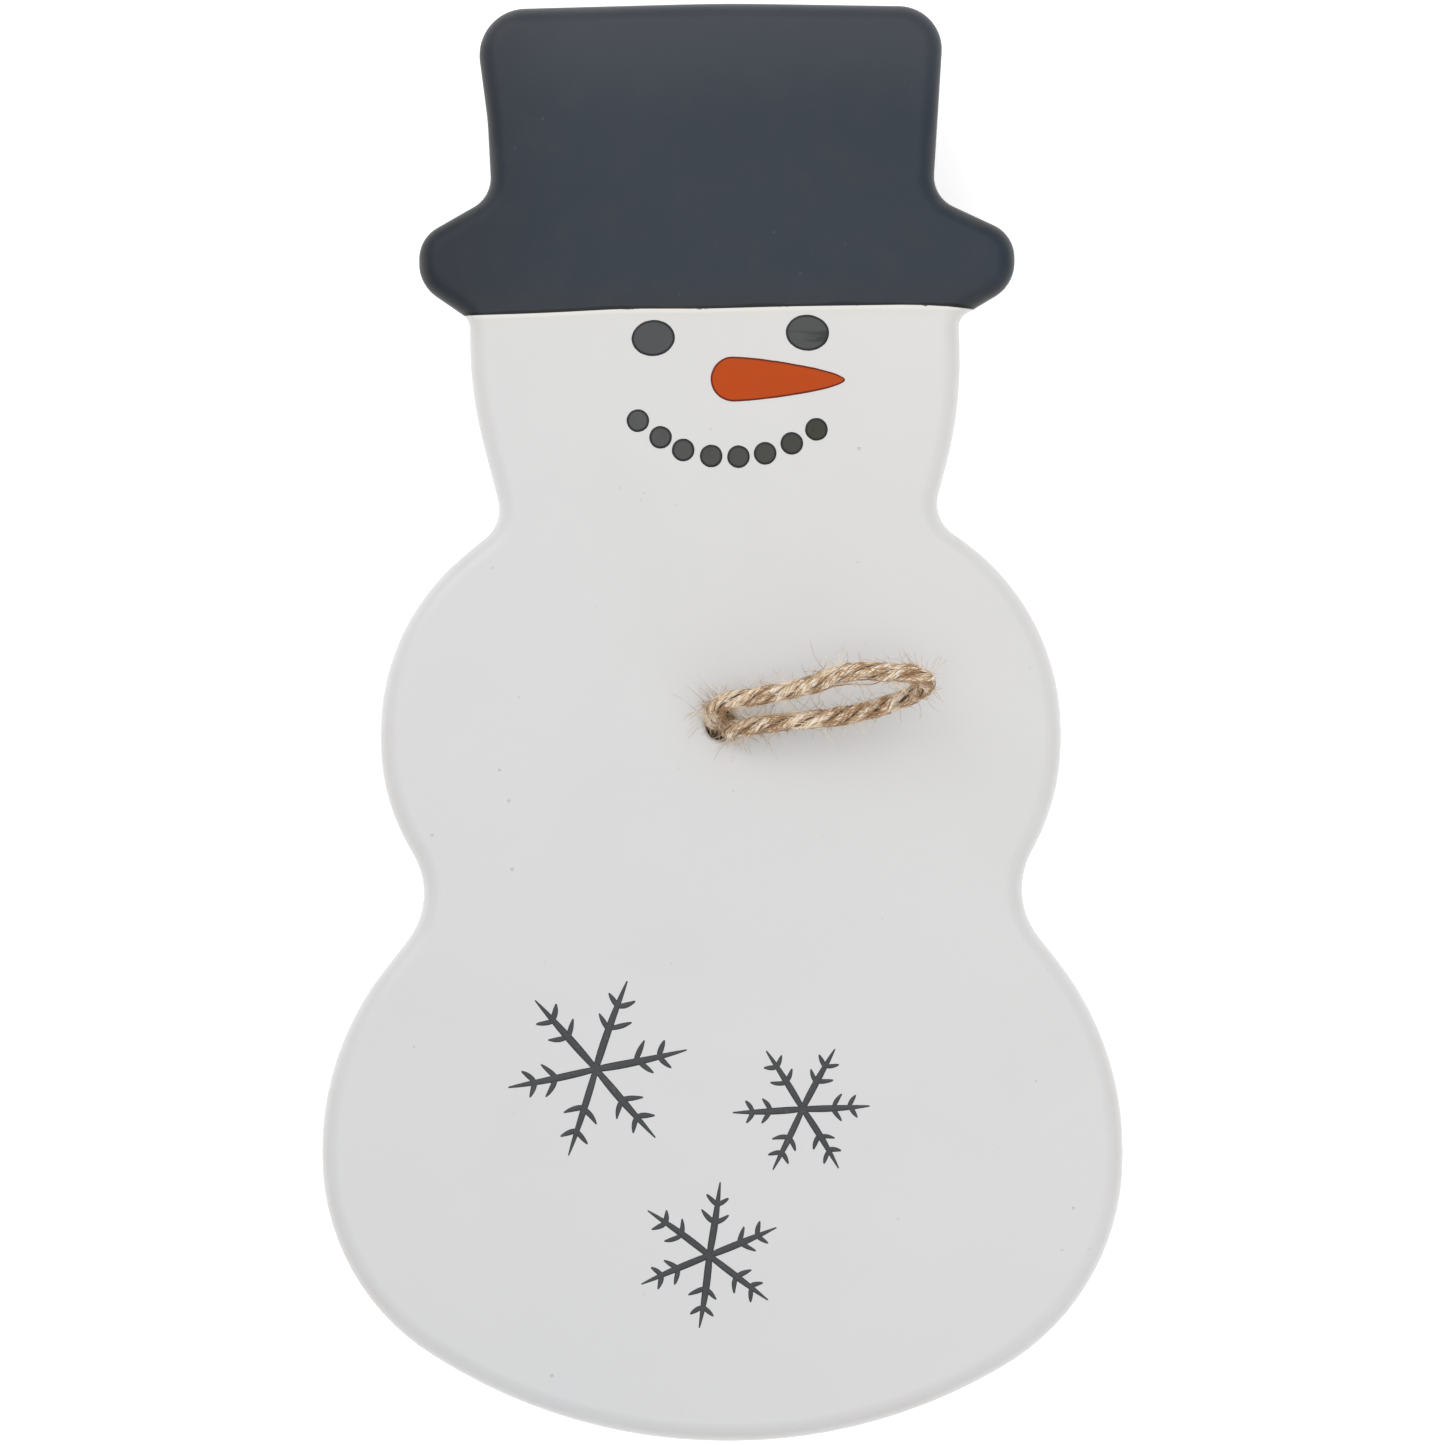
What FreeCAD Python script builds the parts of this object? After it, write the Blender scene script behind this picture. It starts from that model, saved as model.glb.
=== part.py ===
# Snowman covered dish in glazed ceramic: a deep dish, a shallow lid of the same outline and a jute
# loop through the middle of the lid. Millimetres, +Z up, the hat towards +Y, the origin on the table
# under the middle of the outline.
import FreeCAD, Part
import math
import os
from FreeCAD import Placement, Rotation, Vector

doc = FreeCAD.newDocument("SnowmanDish")

# ---- sizes -----------------------------------------------------------------------------------
sizes = {
    "dishHeight": 44.0,      # table to the dish's rim
    "dishOverhang": 0.8,     # the lid stands out past the dish by this much
    "dishDraft": 1.5,        # slope of the dish's side, degrees
    "wall": 5.0,             # dish wall at the rim
    "floorThick": 5.0,
    "floorRound": 7.0,       # inside, where the floor meets the wall
    "footRound": 4.0,        # outside, under the wall
    "footWidth": 6.0,        # bare clay ring that the dish stands on
    "footDepth": 1.0,
    "rimRound": 1.0,
    "seam": 0.1,             # glaze to glaze, between rim and lid
    "lidThick": 7.0,
    "lidRound": 2.8,         # upper edge of the lid
    "lidUnderRound": 1.0,
    "flangeTall": 5.0,       # ridge under the lid that drops inside the dish
    "flangeWide": 3.5,
    "flangePlay": 1.0,
    "coat": 0.35,            # thickness of the dark glaze on the hat
    "decal": 0.15,           # thickness of a fired-on decal
    "holeWide": 4.6,
    "holeX": -0.2,
    "holeY": -0.4,
    "holeRound": 0.7,
    "cordWide": 2.8,
    "knotWide": 13.0,
    "knotTall": 9.5,
    "tailWide": 2.8,
    "lineWide": 0.9,         # brushed line of a snowflake
    "dotWide": 3.3,          # dots of the mouth
    "noseLong": 16.7,
    "noseRoot": 3.3,         # radius of the carrot's thick end
}
sheet = doc.addObject("Spreadsheet::Sheet", "Sizes")
for row, (name, value) in enumerate(sizes.items(), start=1):
    sheet.set(f"A{row}", name)
    sheet.set(f"B{row}", str(value))
    sheet.setAlias(f"B{row}", name)
doc.recompute()


def size(name):
    return float(getattr(sheet, name))


# ---- the snowman's outline --------------------------------------------------------------------
# Corners of a polygon round the figure, counter-clockwise from the bottom: x, y and the radius that
# rounds the corner. The hand-made figure isn't quite symmetrical.
lowerRight = [
    (22.4, -108.0, 82.0),    # underside of the bottom ball
    (60.2, -86.6, 37.0),
    (60.2, -48.2, 46.0),
    (42.8, -26.2, 12.0),     # waist
    (50.9, -11.2, 35.0),     # middle ball
    (50.9, 17.0, 35.0),
    (31.5, 30.6, 5.5),       # neck
    (36.0, 47.6, 60.0),      # head
]
brimRight = [
    (35.5, 60.8, 2.4),
    (43.9, 65.8, 6.0),
    (43.9, 73.3, 5.5),
    (31.6, 79.0, 5.0),
]
crown = [
    (33.4, 107.6, 6.5),
    (0.0, 108.1, 300.0),     # the top swells a little
    (-37.5, 107.1, 7.0),
    (-35.3, 90.5, 40.0),
]
brimLeft = [
    (-34.7, 79.0, 5.0),
    (-45.6, 72.8, 5.5),
    (-45.6, 65.8, 6.0),
    (-38.0, 60.6, 2.6),
]
lowerLeft = [
    (-37.9, 49.3, 60.0),
    (-32.9, 30.0, 5.5),
    (-51.4, 14.8, 35.0),
    (-51.4, -11.6, 35.0),
    (-42.5, -26.5, 12.5),
    (-60.2, -49.2, 46.0),
    (-60.2, -84.8, 37.0),
    (-22.8, -108.0, 82.0),
]
figure = lowerRight + brimRight + crown + brimLeft + lowerLeft
# the inside of the dish goes straight past the brim, and its top is plainer
inside = lowerRight + [crown[0], crown[2]] + lowerLeft


def corner(before, here, after):
    """Directions into and out of a corner, the turn there and the way to its inner side."""
    arrive = (here - before).normalize()
    leave = (after - here).normalize()
    turn = math.atan2(arrive.cross(leave).z, arrive.dot(leave))
    inward = Vector(-arrive.y - leave.y, arrive.x + leave.x, 0).normalize()
    return arrive, leave, turn, inward


def fitted(corners, straight=0.8):
    """Cuts radii back until every side keeps a straight stretch between its two arcs."""
    count = len(corners)
    point = [Vector(x, y, 0) for x, y, _ in corners]
    turn = [corner(point[i - 1], point[i], point[(i + 1) % count])[2] for i in range(count)]
    radius = [r for _, _, r in corners]
    for i in range(count):
        j = (i + 1) % count
        reach = radius[i] * math.tan(abs(turn[i]) / 2) + radius[j] * math.tan(abs(turn[j]) / 2)
        share = ((point[j] - point[i]).Length - straight) / reach
        if share < 1:
            radius[i] *= share
            radius[j] *= share
    return [(p.x, p.y, r) for p, r in zip(point, radius)]


def roundedLoop(corners, inset=0.0, least=0.0):
    """Lines and tangent arcs round the corners, moved inwards by inset; least is the smallest radius."""
    count = len(corners)
    point = [Vector(x, y, 0) for x, y, _ in corners]
    arcs = []
    for i in range(count):
        arrive, leave, turn, inward = corner(point[i - 1], point[i], point[(i + 1) % count])
        bend = corners[i][2]
        radius = max(bend - inset, least) if turn > 0 else bend + inset
        tip = point[i] + inward * (inset / math.cos(turn / 2))
        reach = radius * math.tan(abs(turn) / 2)
        middle = tip + inward * (math.copysign(radius, turn) * (1 / math.cos(turn / 2) - 1))
        arcs.append((tip - arrive * reach, middle, tip + leave * reach))
    loop = []
    for i, (start, middle, end) in enumerate(arcs):
        loop.append(Part.Arc(start, middle, end))
        loop.append(Part.LineSegment(end, arcs[(i + 1) % count][0]))
    return loop


figure = fitted(figure)
inside = fitted(inside)


# ---- helpers ----------------------------------------------------------------------------------
def newBody(label, z=0.0):
    body = doc.addObject("PartDesign::Body", label)
    body.Label = label
    body.Placement = Placement(Vector(0, 0, z), Rotation())
    return body


def newSketch(body, name, loops, z=0.0, role="XY_Plane"):
    sketch = body.newObject("Sketcher::SketchObject", name)
    plane = [f for f in body.Origin.OriginFeatures if f.Role == role][0]
    sketch.AttachmentSupport = [(plane, "")]
    sketch.MapMode = "FlatFace"
    sketch.AttachmentOffset = Placement(Vector(0, 0, z), Rotation())
    for loop in loops:
        for curve in loop:
            sketch.addGeometry(curve, False)
    return sketch


def newFeature(body, kind, name, sketch, **values):
    feature = body.newObject(kind, name)
    feature.Profile = sketch
    for key, value in values.items():
        if isinstance(value, str):
            feature.setExpression(key, value)
        else:
            setattr(feature, key, value)
    sketch.Visibility = False
    doc.recompute()
    return feature


def edgesAt(shape, height, ring=0):
    """Names of the edges of one flat ring at a height; ring 0 is the widest, -1 the narrowest."""
    flat = []
    for i, edge in enumerate(shape.Edges, start=1):
        box = edge.BoundBox
        if abs(box.ZMin - height) < 1e-4 and abs(box.ZMax - height) < 1e-4:
            flat.append((f"Edge{i}", edge))
    rings = [Part.Wire(r) for r in Part.sortEdges([edge for _, edge in flat])]
    rings.sort(key=lambda wire: -wire.BoundBox.XLength)
    return [name for name, edge in flat if any(edge.isSame(e) for e in rings[ring].Edges)]


def newFillet(body, name, base, edges, radius):
    fillet = body.newObject("PartDesign::Fillet", name)
    fillet.Base = (base, edges)
    fillet.setExpression("Radius", radius)
    doc.recompute()
    return fillet


def circle(x, y, r):
    return [Part.Circle(Vector(x, y, 0), Vector(0, 0, 1), r)]


# ---- forms: dish and lid ----------------------------------------------------------------------
# Each is drawn twice, once with its glaze and once without, so the dark coat on the hat is the
# difference between the two.
low = size("dishOverhang") + size("dishHeight") * math.tan(math.radians(size("dishDraft")))


def dishForm(label, skin=0.0):
    form = newBody(label)
    outline = newSketch(form, label + "Outline", [roundedLoop(figure, low + skin)])
    pad = newFeature(form, "PartDesign::Pad", label + "Pad", outline, Length="Sizes.dishHeight",
                     TaperAngle="Sizes.dishDraft")
    return form, pad


def lidForm(label, skin=0.0):
    form = newBody(label, size("dishHeight") + size("seam"))
    outline = newSketch(form, label + "Outline", [roundedLoop(figure, skin)])
    pad = newFeature(form, "PartDesign::Pad", label + "Pad", outline, Length=f"Sizes.lidThick - {skin}")
    top = newFillet(form, label + "Round", pad, edgesAt(pad.Shape, size("lidThick") - skin),
                    f"Sizes.lidRound - {skin}")
    return form, top


dish, pad = dishForm("dish_form")
hollow = newSketch(dish, "hollowOutline",
                   [roundedLoop(inside, size("dishOverhang") + size("wall"), 8.0)])
hollow.setExpression("AttachmentOffset.Base.z", "Sizes.dishHeight")
pocket = newFeature(dish, "PartDesign::Pocket", "dishHollow", hollow, TaperAngle="-Sizes.dishDraft",
                    Length="Sizes.dishHeight - Sizes.floorThick")
step = newFillet(dish, "dishFloorRound", pocket, edgesAt(pocket.Shape, size("floorThick")),
                 "Sizes.floorRound")
step = newFillet(dish, "dishRimInner", step, edgesAt(step.Shape, size("dishHeight"), 1),
                 "Sizes.rimRound")
step = newFillet(dish, "dishRimOuter", step, edgesAt(step.Shape, size("dishHeight"), 0),
                 "Sizes.rimRound")
step = newFillet(dish, "dishFootRound", step, edgesAt(step.Shape, 0.0), "Sizes.footRound")
foot = newSketch(dish, "footOutline",
                 [roundedLoop(inside, low + size("footRound") + size("footWidth"), 8.0)])
footPocket = newFeature(dish, "PartDesign::Pocket", "dishFoot", foot, Length="Sizes.footDepth",
                        Reversed=True)
print("hollow takes", round(pad.Shape.Volume - pocket.Shape.Volume), "foot takes",
      round(step.Shape.Volume - footPocket.Shape.Volume))

lid, top = lidForm("lid_form")
step = newFillet(lid, "lidUnderRound", top, edgesAt(top.Shape, 0.0), "Sizes.lidUnderRound")
reach = size("dishOverhang") + size("wall") + size("flangePlay")
flangeLoops = [roundedLoop(inside, reach, 8.0), roundedLoop(inside, reach + size("flangeWide"), 8.0)]
flange = newSketch(lid, "flangeOutline", flangeLoops)
flangePad = newFeature(lid, "PartDesign::Pad", "lidFlange", flange, Length="Sizes.flangeTall",
                       Reversed=True)
print("flange adds", round(flangePad.Shape.Volume - step.Shape.Volume))
step = newFillet(lid, "lidFlangeOuter", flangePad, edgesAt(flangePad.Shape, -size("flangeTall"), 0),
                 "Sizes.rimRound")
step = newFillet(lid, "lidFlangeInner", step, edgesAt(step.Shape, -size("flangeTall"), 1),
                 "Sizes.rimRound")
hole = newSketch(lid, "holeOutline", [circle(size("holeX"), size("holeY"), size("holeWide") / 2)])
hole.setExpression("AttachmentOffset.Base.z", "Sizes.lidThick")
holePocket = newFeature(lid, "PartDesign::Pocket", "lidHole", hole, Length="Sizes.lidThick")
print("hole takes", round(step.Shape.Volume - holePocket.Shape.Volume, 1))
step = newFillet(lid, "lidHoleRound", holePocket,
                 edgesAt(holePocket.Shape, size("lidThick"), -1), "Sizes.holeRound")


# ---- dark glaze on the hat -------------------------------------------------------------------
# The hat's colour starts on a slightly wavy line across the brim's lower side.
hatLine = [(-70.0, 60.4), (-38.0, 61.1), (-24.0, 61.6), (-13.0, 62.1), (-4.0, 62.1), (8.0, 62.4),
           (20.0, 62.6), (33.0, 62.5), (38.0, 62.0), (70.0, 61.0)]
hatCurve = Part.BSplineCurve()
hatCurve.interpolate([Vector(x, y, 0) for x, y in hatLine])
hatEdges = [
    hatCurve.toShape(),
    Part.makeLine(Vector(*hatLine[-1], 0), Vector(70, 130, 0)),
    Part.makeLine(Vector(70, 130, 0), Vector(-70, 130, 0)),
    Part.makeLine(Vector(-70, 130, 0), Vector(*hatLine[0], 0)),
]
hatArea = doc.addObject("Part::Feature", "hatArea")
hatArea.Shape = Part.Face(Part.Wire(hatEdges))


def hatRegion(label, bottom, tall):
    region = doc.addObject("Part::Extrusion", label)
    region.Base = hatArea
    region.DirMode = "Custom"
    region.Dir = Vector(0, 0, 1)
    region.Solid = True
    region.setExpression("LengthFwd", tall)
    region.setExpression("Placement.Base.z", bottom)
    return region


def boolean(kind, label, base, tool):
    result = doc.addObject(kind, label)
    result.Label = label
    result.Base = base
    result.Tool = tool
    doc.recompute()
    return result


underDish, _ = dishForm("dish_under_glaze", size("coat"))
underLid, _ = lidForm("lid_under_glaze", size("coat"))
dishPart = boolean("Part::Common", "dish_hat_half",
                   hatRegion("dishHatRegion", "-1", "Sizes.dishHeight + 2"), dish)
boolean("Part::Cut", "dish_hat_glaze", dishPart, underDish)
boolean("Part::Cut", "dish_body", dish, doc.getObject("dish_hat_glaze"))
lidPart = boolean("Part::Common", "lid_hat_half",
                  hatRegion("lidHatRegion", "Sizes.dishHeight + Sizes.seam", "Sizes.lidThick + 1"), lid)
boolean("Part::Cut", "lid_hat_glaze", lidPart, underLid)
boolean("Part::Cut", "lid_body", lid, doc.getObject("lid_hat_glaze"))

# ---- decals and brushwork on the lid's face ----------------------------------------------------
faceUp = size("dishHeight") + size("seam") + size("lidThick")


def decal(label, loops, x=0.0, y=0.0, turn=0.0):
    """A thin plate of fired colour on top of the lid."""
    plate = newBody(label)
    plate.Placement = Placement(Vector(x, y, faceUp), Rotation(Vector(0, 0, 1), turn))
    outline = newSketch(plate, label + "Outline", loops)
    newFeature(plate, "PartDesign::Pad", label + "Pad", outline, Length="Sizes.decal")
    return plate


def oval(wide, tall):
    return [Part.Ellipse(Vector(0, 0, 0), wide / 2, tall / 2)]


def carrot(length, rootRadius, tipRadius):
    """A round root at the origin; both sides swell a little on the way to a small round tip at +X."""
    top = Vector(0, rootRadius, 0)
    shoulder = Vector(length * 0.55, rootRadius * 0.71, 0)
    tip = Vector(length - tipRadius * 0.3, tipRadius, 0)
    low = [Vector(p.x, -p.y, 0) for p in (top, shoulder, tip)]
    return [
        Part.Arc(top, Vector(-rootRadius, 0, 0), low[0]),
        Part.Arc(low[0], low[1], low[2]),
        Part.Arc(low[2], Vector(length + tipRadius * 0.5, 0, 0), tip),
        Part.Arc(tip, shoulder, top),
    ]


decal("left_eye", [oval(6.5, 5.4)], -10.4, 57.7)
decal("right_eye", [oval(6.4, 5.3)], 12.8, 58.4)
decal("carrot_nose", [carrot(size("noseLong"), size("noseRoot"), 0.5)], 1.6, 51.5, -0.4)

smile = [(-12.7, 45.3), (-9.3, 42.8), (-5.9, 40.9), (-1.7, 40.0), (2.4, 39.9), (6.4, 40.4), (10.4, 41.9),
         (14.1, 44.0)]
for number, (x, y) in enumerate(smile, start=1):
    decal(f"mouth_dot_{number}", [circle(0, 0, size("dotWide") / 2)], x, y)


def bar(start, end, wide):
    side = (end - start).normalize() * (wide / 2)
    side = Vector(-side.y, side.x, 0)
    ring = [start + side, start - side, end - side, end + side]
    return [Part.LineSegment(ring[i], ring[(i + 1) % 4]) for i in range(4)]


def snowflake(label, reach, x, y, turn):
    """One arm with two pairs of side strokes, repeated six times round the middle."""
    wide = size("lineWide")
    plate = decal(label, [bar(Vector(-wide * 0.3, 0, 0), Vector(reach, 0, 0), wide)], x, y, turn)
    stem = plate.Tip
    twigs = []
    for along, length in ((0.45, 0.24), (0.7, 0.2)):
        for angle in (55, -55):
            root = Vector(reach * along, 0, 0)
            slope = Vector(math.cos(math.radians(angle)), math.sin(math.radians(angle)), 0)
            twigs.append(bar(root + slope * wide * 0.35, root + slope * reach * length, wide * 0.85))
    outline = newSketch(plate, label + "Twigs", twigs)
    side = newFeature(plate, "PartDesign::Pad", label + "TwigPad", outline, Length="Sizes.decal")
    arms = plate.newObject("PartDesign::PolarPattern", label + "Arms")
    arms.Originals = [stem, side]
    arms.Axis = (stem.Profile[0], ["N_Axis"])
    arms.Angle = 360
    arms.Occurrences = 6
    plate.Tip = arms
    doc.recompute()
    return plate


snowflake("snowflake_upper", 14.0, -19.0, -52.0, 12)
snowflake("snowflake_middle", 10.5, 12.0, -58.0, 3)
snowflake("snowflake_lower", 11.5, -2.0, -80.0, 22)

# ---- jute cord -------------------------------------------------------------------------------
# The loop's middle line, measured from the lid's face: up one leg, out to the tip, and back down the
# other leg. Below the hole's mouth both legs are squeezed together.
route = [
    (-1.35, 0.35, 0.0),
    (-1.35, 0.35, 2.4),
    (-1.3, 3.1, 6.0),
    (6.0, 3.95, 8.6),
    (13.4, 5.5, 12.0),
    (19.2, 7.9, 14.4),
    (25.2, 7.4, 15.9),
    (28.9, 7.3, 16.2),
    (31.0, 6.05, 13.2),
    (28.9, 4.3, 9.9),
    (22.6, 1.75, 9.4),
    (14.5, 0.45, 8.4),
    (6.5, -0.1, 6.4),
    (1.0, -1.2, 3.6),
    (1.0, -1.2, 0.0),
]


def tube(points, wide, label):
    """Straight runs joined by tangent arcs, each as large as its two runs allow, swept by a circle."""
    point = [Vector(*p) for p in points]
    edges = []
    start = point[0]
    radii = []
    for before, here, after in zip(point, point[1:], point[2:]):
        arrive = (here - before).normalize()
        leave = (after - here).normalize()
        half = arrive.getAngle(leave) / 2
        reach = 0.45 * min((here - before).Length, (after - here).Length)
        radius = reach / math.tan(half)
        radii.append(round(radius, 1))
        inward = (leave - arrive).normalize()
        middle = here + inward * (radius / math.cos(half) - radius)
        edges.append(Part.LineSegment(start, here - arrive * reach).toShape())
        edges.append(Part.Arc(here - arrive * reach, middle, here + leave * reach).toShape())
        start = here + leave * reach
    edges.append(Part.LineSegment(start, point[-1]).toShape())
    path = Part.Wire(edges)
    ring = Part.Wire(Part.makeCircle(wide / 2, point[0], point[1] - point[0]))
    solid = path.makePipeShell([ring], True, True)
    expected = math.pi * (wide / 2) ** 2 * path.Length
    print(label, "radii", radii, "length", round(path.Length, 1), "volume", round(solid.Volume, 1),
          "section x length", round(expected, 1))
    cord = doc.addObject("Part::Feature", label)
    cord.Label = label
    cord.Shape = solid
    cord.Placement = Placement(Vector(0, 0, faceUp), Rotation())
    return cord


tube(route, size("cordWide"), "jute_loop")

knotRound = doc.addObject("Part::Ellipsoid", "knot_round")
knotRound.Angle1 = -90
knotRound.Angle2 = 90
knotRound.setExpression("Radius1", "Sizes.knotTall / 2")
knotRound.setExpression("Radius2", "Sizes.knotWide / 2")
knotRound.setExpression("Radius3", "Sizes.knotWide / 2")
under = size("lidThick")
knotRound.Placement = Placement(
    Vector(size("holeX"), size("holeY"), faceUp - under - size("knotTall") / 2 - 0.1), Rotation())
# the squeezed legs fill the hole from the knot up to the lid's face
knotNeck = doc.addObject("Part::Cylinder", "knot_neck")
knotNeck.setExpression("Radius", "Sizes.holeWide / 2 - 0.1")
knotNeck.Height = under + size("knotTall") / 2
knotNeck.Placement = Placement(
    Vector(size("holeX"), size("holeY"), faceUp - under - size("knotTall") / 2), Rotation())
boolean("Part::Fuse", "stopper_knot", knotRound, knotNeck)

# two short tails hang from the knot
knotFoot = under + size("knotTall") - 0.6
tailRoutes = {
    "cord_tail_left": [(-1.5, -0.9, -knotFoot + 1.6), (-2.3, -1.2, -knotFoot - 2.6),
                       (-4.9, -2.7, -knotFoot - 6.4), (-5.9, -5.3, -knotFoot - 9.0)],
    "cord_tail_right": [(2.1, 0.1, -knotFoot + 1.6), (2.8, 0.5, -knotFoot - 2.8),
                        (4.7, 2.3, -knotFoot - 6.6), (5.0, 5.3, -knotFoot - 9.4)],
}
for label, points in tailRoutes.items():
    raw = tube(points, size("tailWide"), label + "_raw")
    boolean("Part::Cut", label, raw, doc.getObject("stopper_knot"))

# ---- checks and files --------------------------------------------------------------------------
doc.recompute()
for item in doc.Objects:
    if "Invalid" in item.State or "Error" in item.State:
        raise RuntimeError(f"{item.Label} did not build: {item.State}")

nodes = ["dish_body", "dish_hat_glaze", "lid_body", "lid_hat_glaze", "left_eye", "right_eye", "carrot_nose"]
nodes += [f"mouth_dot_{number}" for number in range(1, len(smile) + 1)]
nodes += ["snowflake_upper", "snowflake_middle", "snowflake_lower"]
nodes += ["jute_loop", "stopper_knot", "cord_tail_left", "cord_tail_right"]
os.makedirs("parts", exist_ok=True)
for node in nodes:
    shape = doc.getObject(node).Shape
    if shape.isNull() or not shape.isValid() or len(shape.Solids) != 1:
        raise RuntimeError(f"{node} is not one valid solid")
for node in nodes:
    shape = doc.getObject(node).Shape
    shape.exportStep(f"parts/{node}.step")
    print(node, round(shape.Volume, 1), shape.optimalBoundingBox())
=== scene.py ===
import math
import random

import bpy
from mathutils import Matrix, Vector, noise


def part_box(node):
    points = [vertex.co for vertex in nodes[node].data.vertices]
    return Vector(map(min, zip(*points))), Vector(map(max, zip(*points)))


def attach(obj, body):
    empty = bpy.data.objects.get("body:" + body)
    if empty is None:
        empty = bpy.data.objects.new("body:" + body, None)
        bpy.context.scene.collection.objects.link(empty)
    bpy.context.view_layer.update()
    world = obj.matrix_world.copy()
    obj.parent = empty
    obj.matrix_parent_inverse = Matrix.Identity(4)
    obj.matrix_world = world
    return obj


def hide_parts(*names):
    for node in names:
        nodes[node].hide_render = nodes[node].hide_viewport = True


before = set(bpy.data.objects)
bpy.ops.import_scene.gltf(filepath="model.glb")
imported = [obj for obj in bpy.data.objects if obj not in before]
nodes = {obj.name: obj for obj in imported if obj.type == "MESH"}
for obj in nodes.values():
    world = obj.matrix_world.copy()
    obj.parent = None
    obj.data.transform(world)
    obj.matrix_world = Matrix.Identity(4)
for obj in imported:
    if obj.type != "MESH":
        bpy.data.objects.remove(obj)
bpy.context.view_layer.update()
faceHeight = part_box("lid_body")[1].z  # top of the lid's white glaze
print("frame loaded:", len(nodes), "nodes, the lid's face at", round(faceHeight, 5))


# a straight-down view of the whole figure

view = {
    "lens": 300,
    "sensor": 36,
    "width": 0.217,         # what the frame takes in at the aim height, in metres
    "aimHeight": 0.050,
    "near": 0.05,
    "far": 20,
}


def addCamera():
    bpy.ops.object.select_all(action="DESELECT")
    distance = view["width"] / view["sensor"] * view["lens"]
    bpy.ops.object.camera_add(location=(0, 0, view["aimHeight"] + distance), rotation=(0, 0, 0))
    camera = bpy.context.object
    camera.name = "camera"
    camera.data.lens = view["lens"]
    camera.data.sensor_width = view["sensor"]
    camera.data.clip_start = view["near"]
    camera.data.clip_end = view["far"]
    bpy.context.scene.camera = camera


addCamera()
print("camera placed")


# shader helpers

class Wire:
    # a socket that can stand in sums
    def __init__(self, paint, socket):
        self.paint = paint
        self.socket = socket

    def maths(self, operation, *values):
        return self.paint.add("ShaderNodeMath", {"operation": operation}, dict(enumerate(values)))

    def __add__(self, other):
        return self.maths("ADD", self, other)

    def __sub__(self, other):
        return self.maths("SUBTRACT", self, other)

    def __mul__(self, other):
        return self.maths("MULTIPLY", self, other)

    def __truediv__(self, other):
        return self.maths("DIVIDE", self, other)

    def __rsub__(self, other):
        return self.maths("SUBTRACT", other, self)

    def __rtruediv__(self, other):
        return self.maths("DIVIDE", other, self)

    __radd__ = __add__
    __rmul__ = __mul__

    def between(self, low, high):
        # 0 at low, 1 at high, smooth on the way
        settings = {"interpolation_type": "SMOOTHSTEP", "clamp": True}
        inputs = {"Value": self, "From Min": low, "From Max": high}
        return self.paint.add("ShaderNodeMapRange", settings, inputs)


class Paint:
    # one material around a Principled shader
    def __init__(self, name, **uniform):
        self.material = bpy.data.materials.new(name)
        self.material.use_nodes = True
        self.tree = self.material.node_tree
        self.shader = self.tree.nodes["Principled BSDF"]
        self.place = self.add("ShaderNodeTexCoord", {}, {}, "Object")
        self.set(**uniform)

    def add(self, kind, settings, inputs, out=0):
        node = self.tree.nodes.new(kind)
        for key, value in settings.items():
            if key == "curve":
                points = node.mapping.curves[0].points
                while len(points) < len(value):
                    points.new(0.5, 0.5)
                for point, place in zip(points, value):
                    point.location = place
                node.mapping.update()
            else:
                setattr(node, key, value)
        for key, value in inputs.items():
            self.link(value, node.inputs[key])
        return Wire(self, node.outputs[out])

    def link(self, value, socket):
        if isinstance(value, Wire):
            self.tree.links.new(value.socket, socket)
        elif socket.type == "RGBA":
            socket.default_value = (*value, 1)
        else:
            socket.default_value = value

    def set(self, **sockets):
        for socket, value in sockets.items():
            self.link(value, self.shader.inputs[socket.replace("_", " ")])

    def mix(self, share, first, second):
        settings = {"data_type": "RGBA", "clamp_factor": True}
        return self.add("ShaderNodeMix", settings, {0: share, 6: first, 7: second}, 2)

    def noise(self, scale, detail=3.0, roughness=0.5, where=None):
        inputs = {"Vector": where or self.place, "Scale": scale, "Detail": detail, "Roughness": roughness}
        return self.add("ShaderNodeTexNoise", {}, inputs)

    def dots(self, scale, core, rim):
        # round dots, one to a cell, full inside core and gone past rim
        inputs = {"Vector": self.place, "Scale": scale}
        return 1 - self.add("ShaderNodeTexVoronoi", {}, inputs, "Distance").between(core, rim)

    def stretched(self, scale):
        # the piece's own coordinates, drawn out along each axis
        inputs = {"Vector": self.place, "Scale": scale}
        return self.add("ShaderNodeMapping", {"vector_type": "TEXTURE"}, inputs)

    def axis(self, name, vector=None):
        return self.add("ShaderNodeSeparateXYZ", {}, {0: vector or self.place}, name)

    def plane(self, x, y):
        return self.add("ShaderNodeCombineXYZ", {}, {"X": x, "Y": y})

    def upward(self):
        # 1 where the surface faces up, 0 on a wall
        return self.axis("Z", self.add("ShaderNodeNewGeometry", {}, {}, "Normal"))

    def bump(self, height, strength, distance):
        return self.add("ShaderNodeBump", {}, {"Height": height, "Strength": strength, "Distance": distance})

    def stored(self, name):
        # a number laid on the mesh when it was made
        return self.add("ShaderNodeAttribute", {"attribute_name": name}, {}, "Fac")


def give(obj, paint):
    obj.data.materials.clear()
    obj.data.materials.append(paint.material)
    for face in obj.data.polygons:
        face.material_index = 0


# the two glazes

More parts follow.
